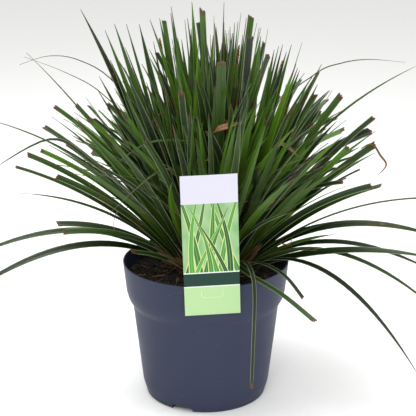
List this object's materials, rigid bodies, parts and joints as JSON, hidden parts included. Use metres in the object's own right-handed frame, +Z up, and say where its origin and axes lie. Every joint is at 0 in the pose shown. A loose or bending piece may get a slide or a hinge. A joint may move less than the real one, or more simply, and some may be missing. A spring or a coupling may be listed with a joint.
{
  "type": "potted carex sedge",
  "caption": "Evergreen sedge with a dense dome of narrow arching leaf blades, standing in soil in a round nursery pot with a blank plant label hooked over its rim.",
  "frame": {"origin": "on the surface that the pot stands on, under the middle of the pot", "axes": "+Z up, +X to the right seen from the front, -Y towards the front, where the label hangs"},
  "size_m": [0.558, 0.3918, 0.453],
  "materials": {
    "pot_plastic": "moulded blue-grey polypropylene, satin",
    "potting_soil": "moist dark peat with small bits of bark and moss",
    "label_plastic": "thin printed plastic card, satin",
    "sedge_leaf": "leathery green leaf blades, dark and bluish outside, fresh green inside"
  },
  "bodies": {
    "root": {"pot": "pot_plastic", "soil": "potting_soil", "label": "label_plastic", "tuft_front": "sedge_leaf", "tuft_front_right": "sedge_leaf", "tuft_back_right": "sedge_leaf", "tuft_back": "sedge_leaf", "tuft_back_left": "sedge_leaf", "tuft_front_left": "sedge_leaf", "tuft_middle": "sedge_leaf"}
  },
  "joints": []
}
